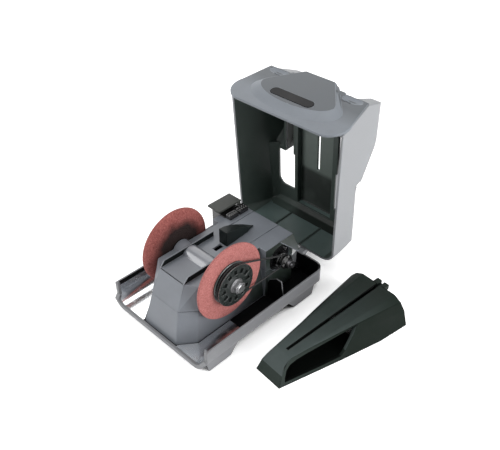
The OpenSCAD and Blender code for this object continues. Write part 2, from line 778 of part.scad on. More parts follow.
// The right side wall's section, pulled along and turned out towards the front
module lid_wing(w) {
  translate([0, lid_rear_y, 0]) rotate([0, 0, lid_taper])
    along_y(-lid_rear_y - tray_front - 40, 20) lid_section(w);
}

// Plan that rounds only the lid's rear corners
module lid_rear_plan(w) {
  r = 16 - w;
  y1 = lid_rear_y - w;
  wide = lid_front_w + 20;
  cx = (lid_half_w - w) / cos(lid_taper) + 16 * tan(lid_taper) + 0.3 - r;
  polygon([[-wide, -tray_front - 60], [wide, -tray_front - 60], [wide, y1 - r], [cx + r, y1 - r], [cx, y1],
    [-cx, y1], [-cx - r, y1 - r], [-wide, y1 - r]]);
  for (side = [-1, 1]) translate([side * cx, y1 - r]) circle(r);
}

module shoulder_bevel(w) {
  edge_w = rail_half_w + 8.5;
  both_sides() along_y(shoulder_front_y - 2 - w, lid_rear_y + 1)
    polygon([[edge_w - 8 - w, shoulder_z - w + eps], [edge_w + 20, shoulder_z - w + eps],
      [edge_w + 20, shoulder_z - 18], [edge_w + 0.5 - w, shoulder_z - 10]]);
}

module lid_body(w) {
  difference() {
    intersection() {
      along_x(-lid_front_w - 5, lid_front_w + 5) lid_side(w);
      lid_wing(w);
      mirror([1, 0, 0]) lid_wing(w);
      translate([0, 0, lid_edge_z - w - 1]) linear_extrude(rail_top_z) lid_rear_plan(w);
    }
    block(-channel_half_w - w, channel_half_w + w, -tray_front - 40, shoulder_front_y + 12,
      shoulder_z - w, rail_top_z + 1);
    shoulder_bevel(w);
  }
  block(-deck_half_w + w, deck_half_w - w, panel_y(panel_back_z) + 3 + w, lid_rear_y - 7 - w,
    shoulder_z - 8, deck_z - w);
}

// Knife window on the right side, open to the disc slot in front of it
module knife_window() {
  z0 = shoulder_z - lid_wall - 1;
  z1 = shoulder_z + 1;
  translate([0, 0, z0]) linear_extrude(z1 - z0) {
    translate([window_in_x, shoulder_front_y + 3])
      square([window_out_x - window_in_x - window_r, window_rear_y - shoulder_front_y - 3]);
    translate([window_in_x, shoulder_front_y + 3])
      square([window_out_x - window_in_x, window_rear_y - window_r - shoulder_front_y - 3]);
    translate([window_out_x - window_r, window_rear_y - window_r]) circle(window_r);
    translate([disc_slot_in, disc_slot_front])
      square([channel_half_w - 0.2 - disc_slot_in, shoulder_front_y + 8 - disc_slot_front]);
  }
}

module hinge_arm() {
  arm_top_y = lid_rear_y + 0.5;
  arm_top_z = lid_edge_z + 12;
  reach = sqrt(pow(hinge_y - arm_top_y, 2) + pow(arm_top_z - hinge_z, 2));
  lean = atan2(hinge_y - arm_top_y, arm_top_z - hinge_z);
  rod_x(knuckle_r, arm_in_x, arm_in_x + arm_w, hinge_y, hinge_z);
  translate([arm_in_x, hinge_y, hinge_z]) rotate([lean, 0, 0]) translate([0, -knuckle_r * 0.8, 0])
    cube([arm_w, knuckle_r * 1.6, reach]);
}

// Upright web that carries the channel's right wall up to the arched cover
module hood_cheek() {
  intersection() {
    rod_x(disc_d / 2 + hood_gap + hood_t, channel_half_w, channel_half_w + cheek_t, 0, spindle_z);
    block(0, lid_half_w, -12, shoulder_front_y + 3, shoulder_z - 1, rail_top_z);
  }
}

module lid_shell() color("darkgray") swung_open() difference() {
  union() {
    difference() {
      lid_body(0);
      lid_body(lid_wall);
      block(-lid_front_w - 5, lid_front_w + 5, -tray_front - 40, lid_rear_y + 1, 0, lid_edge_z);
    }
    both_sides() hinge_arm();
    both_sides() hood_cheek();
    both_sides() block(arm_in_x - 0.7, arm_in_x + 0.7, lid_rear_y - lid_wall - 1, lid_rear_y - lid_wall / 2,
      lid_edge_z + 1, shoulder_z - 14);
  }
  both_sides() knife_window();
  block(-deck_slot_w / 2, deck_slot_w / 2, -30, 31, deck_z - lid_wall - 1, deck_z + 1);
  rod_x(drive_pulley_r + 2.3, disc_face_x - 0.2, nut_x + 1.6, 0, spindle_z);
  both_sides() rod_x(hinge_pin_d / 2 + running_gap, arm_in_x - 1, arm_in_x + arm_w + 1, hinge_y, hinge_z);
}

// Arched cover in the channel, over the front of the right disc
module disc_hood() {
  r0 = disc_d / 2 + hood_gap;
  intersection() {
    difference() {
      rod_x(r0 + hood_t, disc_slot_in - 0.9, channel_half_w - 0.15, 0, spindle_z);
      rod_x(r0, disc_slot_in - 2, channel_half_w + 1, 0, spindle_z);
    }
    block(0, lid_half_w, -disc_d, shoulder_front_y + 3, shoulder_z, rail_top_z);
  }
}

module left_disc_hood() color("dimgray") swung_open() mirror([1, 0, 0]) disc_hood();
module right_disc_hood() color("dimgray") swung_open() disc_hood();

// Front panel drawn flat: X across, Y up the panel from its lower lip
module panel_outline() {
  back = (panel_back_z - panel_foot_z) * panel_rise;
  step = (panel_step_z - panel_foot_z) * panel_rise;
  crest = (panel_crest_z - panel_foot_z) * panel_rise;
  lip_w = lid_front_w - 0.2;
  side_w = lip_w - lid_draft * (panel_back_z - lid_edge_z) + 0.2;
  polygon([[-lip_w, panel_lip_r], [-lip_w + panel_lip_r, 0], [lip_w - panel_lip_r, 0], [lip_w, panel_lip_r],
    [side_w, back], [33, back], [31, step], [deck_half_w, step], [panel_crest_w, crest],
    [-panel_crest_w, crest], [-deck_half_w, step], [-31, step], [-33, back], [-side_w, back]]);
  for (side = [-1, 1]) translate([side * (lip_w - panel_lip_r), panel_lip_r]) circle(panel_lip_r);
}

// Carries a drawing onto the outer face of the panel, lift millimetres proud of its back
module on_panel(lift) {
  translate([0, panel_foot_y, panel_foot_z]) rotate([90 + panel_tilt, 0, 0])
    translate([0, 0, lift]) children();
}

module plateau_face(half_w, half_d, mid_y) {
  crest = (panel_crest_z - panel_foot_z) * panel_rise;
  polygon([for (i = [0:47]) [half_w * cos(i * 7.5), mid_y + half_d * sin(i * 7.5)]]);
  translate([-half_w * 0.41, mid_y]) square([half_w * 0.82, crest - mid_y - 0.4]);
}

// Raised middle of the panel, with wide sloping flanks
module plateau() hull() {
  linear_extrude(eps) plateau_face(51, 22, 27);
  translate([0, 0, plateau_h]) linear_extrude(eps) plateau_face(42, 17, 31);
}

module badge_outline(grow) {
  translate([-badge_w / 2 + badge_h / 2, -badge_h / 2 - grow])
    square([badge_w - badge_h, badge_h + 2 * grow]);
  for (side = [-1, 1]) translate([side * (badge_w - badge_h) / 2, 0]) circle(badge_h / 2 + grow);
}

plateau_h = 4.4;
badge_y = 23.5;

// Lemon-shaped cutter for the two scoops at the panel's back edge
module scoop() rotate_extrude() intersection() {
  translate([dish_r - dish_arc, 0]) circle(dish_arc);
  translate([0, -dish_arc]) square(2 * dish_arc);
}

module lid_front_panel() color("lightslategray") swung_open() difference() {
  union() {
    on_panel(0) linear_extrude(panel_t) panel_outline();
    on_panel(panel_t - eps) plateau();
  }
  on_panel(panel_t + plateau_h - badge_t) translate([0, badge_y, 0]) linear_extrude(3) badge_outline(0.1);
  both_sides() on_panel(panel_t + dish_r - dish_depth) translate([dish_x, dish_y, 0]) rotate([0, 90, 0]) scoop();
}

module badge_plate() color("black") swung_open()
  on_panel(panel_t + plateau_h - badge_t) translate([0, badge_y, 0])
    linear_extrude(badge_t + 0.3) badge_outline(0);

module panel_screws() color("silver") swung_open() both_sides() {
  for (h = panel_screw_rows) on_panel(-lid_wall * cos(panel_tilt) - screw_h) translate([panel_screw_x, h, 0])
    cylinder(r = panel_screw_r, h = screw_h);
}

// The guide drawn at its nose: X across, Y along, on the table
module guide_place() {
  in_frame() translate([guide_x, guide_y, 0]) rotate([0, 0, -guide_turn]) children();
}

// Corner points of the guide on its right side; w draws them in for the hollow
function guide_corners(w) = [[guide_nose_w - w, w * 1.4, 0],
  [guide_nose_w - 1.7 - w, guide_nose_run * 0.33 + w, guide_nose_z * 0.5 - w * 0.4],
  [guide_top_front_w + 1.2 - w, guide_nose_run * 0.72 + w, guide_nose_z * 0.83 - w * 0.8],
  [guide_top_front_w - w, guide_nose_run * 1.3 + w, guide_nose_z + 0.3 - w],
  [(guide_nose_w + guide_rear_w) / 2 + 1.5 - w, guide_len * 0.46, 0],
  [guide_rear_w - 2.3 - w, guide_len * 0.76, 0],
  [guide_rear_w - w, guide_len - w, 0], [guide_shoulder_w - w, guide_len - w, guide_shoulder_z - w * 0.6],
  [(guide_shoulder_w + guide_top_rear_w) / 2 + 1 - w * 0.9, guide_len - w,
    (guide_shoulder_z + guide_rear_z) / 2 + 1.4 - w],
  [guide_top_rear_w - w * 0.7, guide_len - w, guide_rear_z - w]];

module guide_wedge(w, drop) {
  hull() {
    for (p = guide_corners(w), side = [-1, 1]) {
      translate([side * p[0] - eps / 2, p[1] - (side < 0 ? 0 : eps), p[2] > 0 ? p[2] - eps : -drop])
        cube(eps);
    }
  }
}

// Slot for the blade, wider towards the rear end
module blade_slot(z0) {
  translate([0, 0, z0]) linear_extrude(guide_rear_z)
    polygon([[-guide_slot_w / 4, guide_nose_run + 8], [guide_slot_w / 4, guide_nose_run + 8],
      [guide_slot_w / 2, guide_len + 20], [-guide_slot_w / 2, guide_len + 20]]);
}

module guide_body() color("darkslategray") guide_place() difference() {
  union() {
    difference() {
      guide_wedge(0, 0);
      guide_wedge(guide_wall, 1);
    }
    intersection() {
      guide_wedge(0, 0);
      block(-guide_rear_w, guide_rear_w, 0, web_end, 0, web_t);
    }
  }
  blade_slot(guide_nose_z - 8);
  along_x(-guide_rear_w - 5, guide_rear_w + 5) polygon([[6.4, 3.2], [7.4, 8], [10, 12.6], [15, 16],
    [22, 17.4], [36, 18.4], [60, 19.4], [87, 20.5], [69, 7], [63, 3.4]]);
}

// Locating key at the guide's wide end
module guide_key() color("darkslategray") guide_place()
  difference() {
    block(-guide_key_w / 2, guide_key_w / 2, guide_len + eps, guide_len + guide_key_len, guide_rear_z - 6,
      guide_rear_z - 0.6);
    blade_slot(guide_rear_z - 4.4);
  }

base_tray();
foot_pads();
left_spark_guard();
right_spark_guard();
lower_housing();
upper_housing();
base_screws();
guide_fin();
left_bearing();
right_bearing();
spindle_shaft();
left_disc();
right_disc();
left_disc_hub();
right_disc_hub();
drive_pulley();
left_spindle_nut();
right_spindle_nut();
drive_belt();
motor_can();
motor_front_plate();
motor_rear_cap();
motor_screws();
motor_shaft();
motor_pulley();
pulley_screw();
switch_box();
power_button();
button_pin();
front_terminal_block();
rear_terminal_block();
terminal_screws();
hinge_pins();
lid_shell();
left_disc_hood();
right_disc_hood();
lid_front_panel();
badge_plate();
panel_screws();
guide_body();
guide_key();
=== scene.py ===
import json
import math

import bmesh
import bpy
from mathutils import Matrix, Vector
from mathutils.bvhtree import BVHTree

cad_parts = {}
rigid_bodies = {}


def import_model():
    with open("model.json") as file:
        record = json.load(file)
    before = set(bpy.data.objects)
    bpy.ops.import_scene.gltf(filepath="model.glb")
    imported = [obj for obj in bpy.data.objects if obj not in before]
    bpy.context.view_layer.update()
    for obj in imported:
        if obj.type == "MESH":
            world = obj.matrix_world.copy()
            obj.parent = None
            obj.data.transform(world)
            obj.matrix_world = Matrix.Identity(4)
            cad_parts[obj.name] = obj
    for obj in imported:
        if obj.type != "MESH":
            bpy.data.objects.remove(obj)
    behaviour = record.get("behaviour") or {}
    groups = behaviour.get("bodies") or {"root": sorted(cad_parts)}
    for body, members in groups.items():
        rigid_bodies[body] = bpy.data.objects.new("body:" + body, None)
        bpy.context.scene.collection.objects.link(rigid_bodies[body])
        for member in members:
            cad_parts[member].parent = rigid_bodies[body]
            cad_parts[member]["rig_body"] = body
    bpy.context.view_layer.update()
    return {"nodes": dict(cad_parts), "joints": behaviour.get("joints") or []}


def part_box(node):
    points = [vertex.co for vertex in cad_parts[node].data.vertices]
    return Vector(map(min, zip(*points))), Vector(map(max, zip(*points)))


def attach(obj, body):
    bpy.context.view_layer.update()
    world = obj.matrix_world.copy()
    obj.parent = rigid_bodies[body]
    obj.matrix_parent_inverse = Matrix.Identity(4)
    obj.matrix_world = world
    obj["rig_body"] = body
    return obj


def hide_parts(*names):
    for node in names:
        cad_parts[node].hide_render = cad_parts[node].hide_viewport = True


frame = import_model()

MM = 0.001
JOINTS = {j["name"]: j for j in frame["joints"]}
SPINDLE = Vector(JOINTS["spindle_spin"]["pos_m"])
MOTOR = Vector(JOINTS["rotor_spin"]["pos_m"])
HINGE = Vector(JOINTS["lid_hinge"]["pos_m"])
LID_SWING = math.radians(JOINTS["lid_hinge"]["range_deg"][1])
SCENE = bpy.context.scene


def at(x, y, z):
    """A point in metres from millimetres right of, behind and above the spindle's middle on the table."""
    return Vector((SPINDLE.x + x * MM, SPINDLE.y + y * MM, z * MM))


def in_mm(point):
    """A point in metres as millimetres right of, behind and above the spindle's middle on the table."""
    return Vector(((point.x - SPINDLE.x) / MM, (point.y - SPINDLE.y) / MM, point.z / MM))


def lid_closed(point):
    """Where a point of the open lid lies when the lid is closed, in millimetres from the spindle."""
    return in_mm(Matrix.Rotation(LID_SWING, 3, "X") @ (point - HINGE) + HINGE)


# Materials

BLACKEST = (0, 0, 0, 1)
WHITEST = (1, 1, 1, 1)
ALONG_SPINDLE = (0.0, 1.0, 1.0)
FROM_ABOVE = (1.0, 1.0, 0.0)


def tone(red, green, blue):
    """A display colour from 0 to 255 as the shader's linear colour."""
    def linear(level):
        share = level / 255
        return share / 12.92 if share <= 0.04045 else ((share + 0.055) / 1.055) ** 2.4
    return (linear(red), linear(green), linear(blue), 1.0)


def scaled(colour, by):
    """A colour made darker or lighter by a factor."""
    return tuple(min(1.0, level * by) for level in colour[:3]) + (1.0,)


def dusted(colour):
    """A dark colour under a film of dust."""
    return tuple(level + 0.012 for level in colour[:3]) + (1.0,)


class Socket:
    """A node's output that can be added, subtracted and multiplied."""

    def __init__(self, sheet, out):
        self.sheet, self.out = sheet, out

    def math(self, operation, first, second):
        return self.sheet.node("ShaderNodeMath", {0: first, 1: second}, operation=operation)

    def __add__(self, other):
        return self.math("ADD", self, other)

    def __sub__(self, other):
        return self.math("SUBTRACT", self, other)

    def __rsub__(self, other):
        return self.math("SUBTRACT", other, self)

    def __mul__(self, other):
        return self.math("MULTIPLY", self, other)

    __radd__ = __add__


class Sheet:
    """One material: its node tree, its shader and a single way to make nodes."""

    def __init__(self, name, **constants):
        self.material = bpy.data.materials.new(name)
        self.material.use_nodes = True
        self.tree = self.material.node_tree
        self.shader = self.tree.nodes["Principled BSDF"]
        for key, value in constants.items():
            self.feed(key.replace("_", " "), value)
        self.place = self.node("ShaderNodeTexCoord", out="Object")

    def node(self, kind, inputs=None, out=0, **settings):
        made = self.tree.nodes.new(kind)
        for key, value in settings.items():
            setattr(made, key, value)
        for key, value in (inputs or {}).items():
            self.join(made.inputs[key], value)
        return Socket(self, made.outputs[out])

    def join(self, target, value):
        if isinstance(value, Socket):
            self.tree.links.new(value.out, target)
        else:
            target.default_value = value

    def feed(self, name, value):
        self.join(self.shader.inputs[name], value)

    def noise(self, scale, detail=4.0, roughness=0.55):
        return self.node("ShaderNodeTexNoise", {"Vector": self.place, "Scale": scale, "Detail": detail,
                                                "Roughness": roughness})

    def cells(self, scale):
        return self.node("ShaderNodeTexVoronoi", {"Vector": self.place, "Scale": scale})

    def ramp(self, share, low, high):
        """The share of the way from low to high, held between 0 and 1."""
        return self.node("ShaderNodeMapRange", {"Value": share, "From Min": low, "From Max": high})

    def mix(self, share, first, second):
        return self.node("ShaderNodeMix", {0: share, 6: first, 7: second}, out=2, data_type="RGBA")

    def reach(self, point, plane=ALONG_SPINDLE):
        """The distance from a point, by default as seen along the spindle."""
        off = self.node("ShaderNodeVectorMath", {0: self.place, 1: tuple(point)}, operation="SUBTRACT")
        flat = self.node("ShaderNodeVectorMath", {0: off, 1: plane}, operation="MULTIPLY")
        return self.node("ShaderNodeVectorMath", {0: flat}, out="Value", operation="LENGTH")

    def bump(self, height, strength, distance):
        self.feed("Normal", self.node("ShaderNodeBump", {"Height": height, "Strength": strength,
                                                         "Distance": distance}))

    def seen(self):
        """1 for rays from the camera and those that shiny or clear surfaces send on, 0 for the rest."""
        direct, mirrored, clear = (self.node("ShaderNodeLightPath", out="Is %s Ray" % kind)
                                   for kind in ("Camera", "Glossy", "Transmission"))
        return direct + mirrored + clear


class Sky(Sheet):
    """The world's node tree."""

    def __init__(self, name):
        self.world = bpy.data.worlds.new(name)
        self.world.use_nodes = True
        self.tree = self.world.node_tree
        self.tree.nodes.remove(self.tree.nodes["Background"])

    def background(self, strength):
        return self.node("ShaderNodeBackground", {"Color": WHITEST, "Strength": strength})

    def close(self, surface):
        self.join(self.tree.nodes["World Output"].inputs["Surface"], surface)


def moulded(name, base, rough, grain=1800.0, strength=0.35, shine=0.5, painted_shading=None):
    """Moulded plastic: spark-eroded grain, a faint cloudiness and a roughness that follows handling.

    painted_shading is painted light and shade: an axis, or a point to measure from as seen from the side,
    then where another colour is full and where it is gone, and that colour.
    """
    shift, depth = 0.12, 0.06 * MM
    sheet = Sheet(name, IOR=1.48, Specular_IOR_Level=shine)
    cloud = sheet.ramp(sheet.noise(38.0, 3.0), 0.3, 0.7)
    fine = sheet.noise(grain, 3.0, 0.6)
    colour = sheet.mix(cloud * 0.6 + fine * 0.4, scaled(base, 1 - shift), scaled(base, 1 + shift))
    # Painted light and shade laid over the plastic's colour
    if painted_shading:
        start, full, none, other = painted_shading
        if isinstance(start, str):
            along = sheet.node("ShaderNodeSeparateXYZ", {0: sheet.place}, out=start)
        else:
            along = sheet.reach(start)
        colour = sheet.mix(sheet.ramp(along, none, full) * (0.8 + cloud * 0.4), colour, other)
    sheet.feed("Base Color", colour)
    sheet.feed("Roughness", rough + (cloud - 0.5) * 0.1 + (fine - 0.5) * 0.12)
    sheet.bump(fine + sheet.cells(grain * 0.45) * 0.6, strength, depth)
    return sheet.material


def glossy(name, base, rough=0.16):
    """Polished plastic with a thin film of dust and handling marks."""
    sheet = Sheet(name, IOR=1.5, Coat_Weight=0.35, Coat_Roughness=0.08)
    dust = sheet.ramp(sheet.noise(260.0, 5.0), 0.45, 0.75)
    smear = sheet.ramp(sheet.noise(46.0, 3.0), 0.35, 0.7)
    sheet.feed("Base Color", sheet.mix(dust * 0.5, base, dusted(base)))
    sheet.feed("Roughness", rough + smear * 0.1 + dust * 0.06)
    sheet.bump(sheet.noise(420.0, 2.0), 0.08, 0.05 * MM)
    return sheet.material


def turned_metal(name, base, rough=0.24):
    """Turned or rolled metal: fine lines, small scratches and a slightly uneven polish."""
    line_scale = (5200.0, 320.0, 320.0)
    sheet = Sheet(name, Metallic=1.0)
    stretched = sheet.node("ShaderNodeMapping", {"Vector": sheet.place, "Scale": line_scale})
    line = sheet.node("ShaderNodeTexNoise", {"Vector": stretched, "Scale": 1.0, "Detail": 3.0})
    patch = sheet.ramp(sheet.noise(120.0, 4.0), 0.35, 0.7)
    sheet.feed("Base Color", sheet.mix(patch * 0.5 + line * 0.3, base, scaled(base, 0.72)))
    sheet.feed("Roughness", rough + patch * 0.08 + (line - 0.5) * 0.14)
    sheet.bump(line, 0.12, 0.04 * MM)
    return sheet.material


def polished_sheet(name, base):
    """Bright rolled sheet, a little wavy, with grinding dust lying in places."""
    sheet = Sheet(name)
    wave = sheet.noise(30.0, 2.0)
    dust = sheet.ramp(sheet.noise(90.0, 6.0, 0.65), 0.5, 0.8)
    sheet.feed("Metallic", 1.0 - dust * 0.2)
    sheet.feed("Base Color", sheet.mix(dust * 0.2, base, tone(170, 170, 170)))
    sheet.feed("Roughness", 0.17 + dust * 0.2)
    sheet.bump(wave, 0.1, 1.2 * MM)
    return sheet.material


def abrasive(name, dark, light, pale, hub_shade=None):
    """Bonded grit on a disc: coarse grains, paler flecks of wear and dark pores.

    hub_shade is the colour of painted shade that darkens it towards the hub.
    """
    unshaded_from, shaded_to, ragged = 31 * MM, 21 * MM, 4 * MM
    sheet = Sheet(name, IOR=1.45)
    grain = sheet.cells(1150.0)
    pores = sheet.ramp(sheet.noise(620.0, 5.0, 0.7), 0.38, 0.66)
    fleck = sheet.ramp(sheet.noise(1500.0, 2.0), 0.6, 0.72)
    broad = sheet.ramp(sheet.noise(75.0, 3.0), 0.3, 0.7)
    ground = sheet.mix(fleck * 0.45, sheet.mix(pores * 0.75 + broad * 0.25, dark, light), pale)
    # Painted shade towards the hub
    if hub_shade:
        out = sheet.reach(SPINDLE) + (broad - 0.5) * ragged
        ground = sheet.mix(sheet.ramp(out, unshaded_from, shaded_to), ground, hub_shade)
    sheet.feed("Base Color", ground)
    sheet.feed("Roughness", 0.78 + (grain - 0.3) * 0.3)
    sheet.bump(grain * 0.8 + pores, 0.7, 0.3 * MM)
    return sheet.material


def rubbery(name, base):
    """Rubber: dull, with a dusty bloom."""
    sheet = Sheet(name, IOR=1.45)
    bloom = sheet.ramp(sheet.noise(210.0, 5.0), 0.4, 0.75)
    sheet.feed("Base Color", sheet.mix(bloom * 0.6, base, dusted(base)))
    sheet.feed("Roughness", 0.62 + bloom * 0.2)
    sheet.bump(sheet.noise(1300.0, 3.0), 0.25, 0.08 * MM)
    return sheet.material


def painted_along_y(full, none, other):
    """Painted light and shade that is full at one distance behind the spindle and gone at another, in
    millimetres.
    """
    return ("Y", at(0, full, 0).y, at(0, none, 0).y, other)


LID_TONE = tone(122, 124, 127)
SLATE_TONE = tone(104, 108, 114)
# Tones of painted shade for the inside of the lid
DEEP_SHADE_TONE = tone(20, 26, 23)
RECESS_SHADE_TONE = tone(14, 19, 16)
FINE_GRAIN = 2200.0
HOOD_MIDDLE = Matrix.Rotation(-LID_SWING, 3, "X") @ (SPINDLE - HINGE) + HINGE

GREY = moulded("lid_grey_plastic", LID_TONE, 0.44)
PALE = moulded("tray_grey_plastic", tone(102, 103, 106), 0.42)
# The panel's own grey with painted light towards its front; the plateau a painted-shade copy, the slopes a
# painted-light copy
PANEL = moulded("panel_grey_plastic", tone(80, 84, 88), 0.46, shine=0.32,
                painted_shading=painted_along_y(113, 134, tone(108, 113, 119)))
PLATEAU_SHADE = moulded("plateau_grey_plastic", tone(76, 80, 84), 0.46, shine=0.32)
SLOPE_LIGHT = moulded("slope_grey_plastic", tone(112, 117, 123), 0.42, shine=0.32)
# Painted shade: the lid's grey made darker for the faces inside it
SHADE = moulded("lid_inner_plastic", tone(46, 56, 52), 0.46)
# Painted light on the deck's face, going to painted shade below it
DECK_LIGHT_AND_SHADE = moulded("lid_deck_plastic", tone(80, 89, 85), 0.46, painted_shading=("Z", 74 * MM, 79 * MM, DEEP_SHADE_TONE))
# Painted shade on the rear corner inside the lid, with painted light towards its left end
CORNER_SHADE_AND_LIGHT = moulded("lid_corner_plastic", DEEP_SHADE_TONE, 0.5, shine=0.2,
               painted_shading=("X", at(-26, 0, 0).x, at(-14, 0, 0).x, tone(54, 64, 60)))
# The lid's grey with painted shade on the disc channel's walls under the hoods
CHANNEL_SHADE = moulded("lid_channel_plastic", LID_TONE, 0.5, shine=0.3,
                  painted_shading=(HOOD_MIDDLE, 40.6 * MM, 41.2 * MM, RECESS_SHADE_TONE))
# Painted shade on the disc hoods
HOOD_SHADE = moulded("lid_recess_plastic", RECESS_SHADE_TONE, 0.55, shine=0.15)
# Painted light on the ledge inside the lid
LEDGE_LIGHT = moulded("lid_ledge_plastic", tone(72, 86, 84), 0.46)
# Painted shade on the trough's inner faces
TROUGH_SHADE = moulded("trough_dark_plastic", tone(4, 4, 5), 0.5, shine=0.1)
CHARCOAL = moulded("housing_slate_plastic", SLATE_TONE, 0.36)
# The housing's slate with painted shade on its right flank, darker towards the rear
FLANK_SHADE = moulded("housing_flank_plastic", SLATE_TONE, 0.4, shine=0.3, painted_shading=painted_along_y(34, 4, tone(30, 37, 33)))
TUBE = moulded("tube_slate_plastic", tone(112, 115, 121), 0.2, shine=0.9, strength=0.1)
# The guide's own charcoal with painted light that makes it paler towards the nose
GUIDE = moulded("guide_charcoal_plastic", tone(9, 18, 13), 0.6, grain=FINE_GRAIN, shine=0.08,
                painted_shading=painted_along_y(-18, 50, tone(40, 47, 44)))
# Painted light: a paler copy of the guide's charcoal for its top, paler still towards the nose
GUIDE_TOP_LIGHT = moulded("guide_top_plastic", tone(10, 20, 15), 0.55, grain=FINE_GRAIN, shine=0.14,
                    painted_shading=painted_along_y(-16, 110, tone(60, 68, 67)))
# Painted shade in the guide's hollow and slot
HOLLOW_SHADE = moulded("guide_hollow_plastic", tone(3, 5, 4), 0.6, shine=0.05)
BLACK = glossy("gloss_black_plastic", tone(17, 17, 18))
PULLEY = glossy("pulley_black_plastic", tone(34, 38, 37), 0.22)
SWITCH = moulded("switch_black_plastic", tone(46, 48, 45), 0.5, shine=0.3)
# The fin's own black, also used on the sides of the roof's ribs as painted shade
FIN_AND_RIB_SHADE = moulded("fin_black_plastic", tone(11, 17, 17), 0.36, shine=0.2)
BADGE = moulded("badge_black_plastic", tone(10, 10, 11), 0.5, shine=0.15)
STEEL = turned_metal("bright_steel", tone(214, 214, 216))
DULL = turned_metal("dull_dark_steel", tone(92, 92, 94), 0.36)
NUT = turned_metal("plated_nut_steel", tone(150, 150, 152), 0.34)
MIRROR = polished_sheet("polished_guard_sheet", tone(232, 234, 236))
GRIT = abrasive("right_disc_grit", tone(134, 76, 72), tone(172, 107, 103), tone(210, 158, 152))
# The right disc's grit made darker as painted shade, with deeper painted shade towards the hub
GRIT_SHADED = abrasive("left_disc_grit", tone(110, 50, 45), tone(156, 90, 85), tone(192, 134, 128),
                     hub_shade=tone(24, 6, 4))
RUBBER = rubbery("belt_rubber", tone(12, 12, 13))
PAD = rubbery("foot_rubber", tone(32, 32, 33))


# Pieces

SAME_POINT = 0.002 * MM
FLAT_ANGLE = math.radians(0.4)
ANY_SHAPE = math.radians(170)
ROUND_STEPS = 2
FAINT_CREASE = 12.0
PROBE = 0.6 * MM


def keep(obj):
    """Puts an object in the scene."""
    SCENE.collection.objects.link(obj)
    return obj


def bake(obj):
    """Swaps an object's modifiers for the mesh that they make."""
    depsgraph = bpy.context.evaluated_depsgraph_get()
    obj.data = bpy.data.meshes.new_from_object(obj.evaluated_get(depsgraph))
    obj.modifiers.clear()
    return obj


def settle(mesh, source, reach):
    """Brings any point that rounding threw off the source's surface back onto it."""
    skin = BVHTree.FromPolygons([v.co for v in source.vertices], [p.vertices for p in source.polygons])
    low = Vector([min(v.co[i] for v in source.vertices) for i in range(3)])
    high = Vector([max(v.co[i] for v in source.vertices) for i in range(3)])
    for vertex in mesh.vertices:
        spot, _, _, away = skin.find_nearest(vertex.co)
        if away > reach:
            vertex.co = spot
        vertex.co = [min(max(vertex.co[i], low[i]), high[i]) for i in range(3)]


def even_out(mesh):
    """Lets the larger faces set the shading, so flat faces stay flat between their rounded edges."""
    leans = [Vector() for _ in mesh.vertices]
    for face in mesh.polygons:
        for index in face.vertices:
            leans[index] += face.normal * face.area
    mesh.shade_smooth()
    mesh.normals_split_custom_set_from_vertices([lean.normalized() for lean in leans])


def soften(node, width, *paints, choose=None, limit=32.0):
    """Stands for a CAD node with the same shape and rounded edges.

    Edges sharper than limit degrees are rounded by width millimetres; choose(centre, normal) picks a
    face's paint.
    """
    source = frame["nodes"][node]
    mesh = source.data.copy()
    mesh.materials.clear()
    work = bmesh.new()
    work.from_mesh(mesh)
    bmesh.ops.remove_doubles(work, verts=work.verts, dist=SAME_POINT)
    bmesh.ops.join_triangles(work, faces=work.faces, angle_face_threshold=FLAT_ANGLE,
                             angle_shape_threshold=ANY_SHAPE)
    work.to_mesh(mesh)
    work.free()
    made = keep(bpy.data.objects.new(node + "_soft", mesh))
    round_off = made.modifiers.new("round", "BEVEL")
    round_off.width = width * MM
    round_off.segments = ROUND_STEPS
    round_off.limit_method = "ANGLE"
    round_off.angle_limit = math.radians(limit)
    round_off.use_clamp_overlap = False
    bake(made)
    settle(made.data, source.data, width * MM)
    even_out(made.data)
    for material in paints:
        made.data.materials.append(material)
    if choose:
        for face in made.data.polygons:
            face.material_index = choose(face.center, face.normal)
    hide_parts(node)
    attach(made, source["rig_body"])


def paint(node, material):
    """Gives a CAD node that keeps its own mesh its material."""
    mesh = frame["nodes"][node].data
    mesh.materials.clear()
    mesh.materials.append(material)


# Which paint a face takes, from where it lies and faces; sizes are in millimetres

HALF_WALL = 1.2

LID_RIM, LID_TOP, HORN_TOP = 26.6, 74.5, 103.5
LID_HALF, LID_REAR = 63.0, 88.5
LID_TAPER, LID_DRAFT = 0.02706, 0.193
FRONT_FOOT, FRONT_FOOT_UP, FRONT_LEAN = -59.1, 15, 0.115
FRONT_BEND, FRONT_BEND_UP, FRONT_RAKE = -63.8, 79.6, 0.399
REAR_BENDS = ((62.5, 0.25), (70.5, 0.75))
HORN_FALL, HORN_FALL_FROM = 0.877, -15
DECK_HALF, DECK_TOP, DECK_FRONT, DECK_REAR = 24.5, 81.0, -62, 81
DECK_WALL_REAR, DECK_WALL_UP = 81.5, 72
DECK_FACE_HALF, DECK_FACE_UP = 23, 76
CHANNEL_IN, CHANNEL_OUT, CHANNEL_REAR, CHANNEL_UP = 36.5, 38.7, 22, 74.6
SLOT_OUT, SLOT_REAR = 38.8, 30
LEDGE_FROM, RIM_UP = 76, 26.8
SHOULDER_FROM, SHOULDER_IN, SHOULDER_FALL = 16, 49, 1.176
CORNER_X, CORNER_Y, CORNER_RADIUS = 47.3, 72.5, 14.8


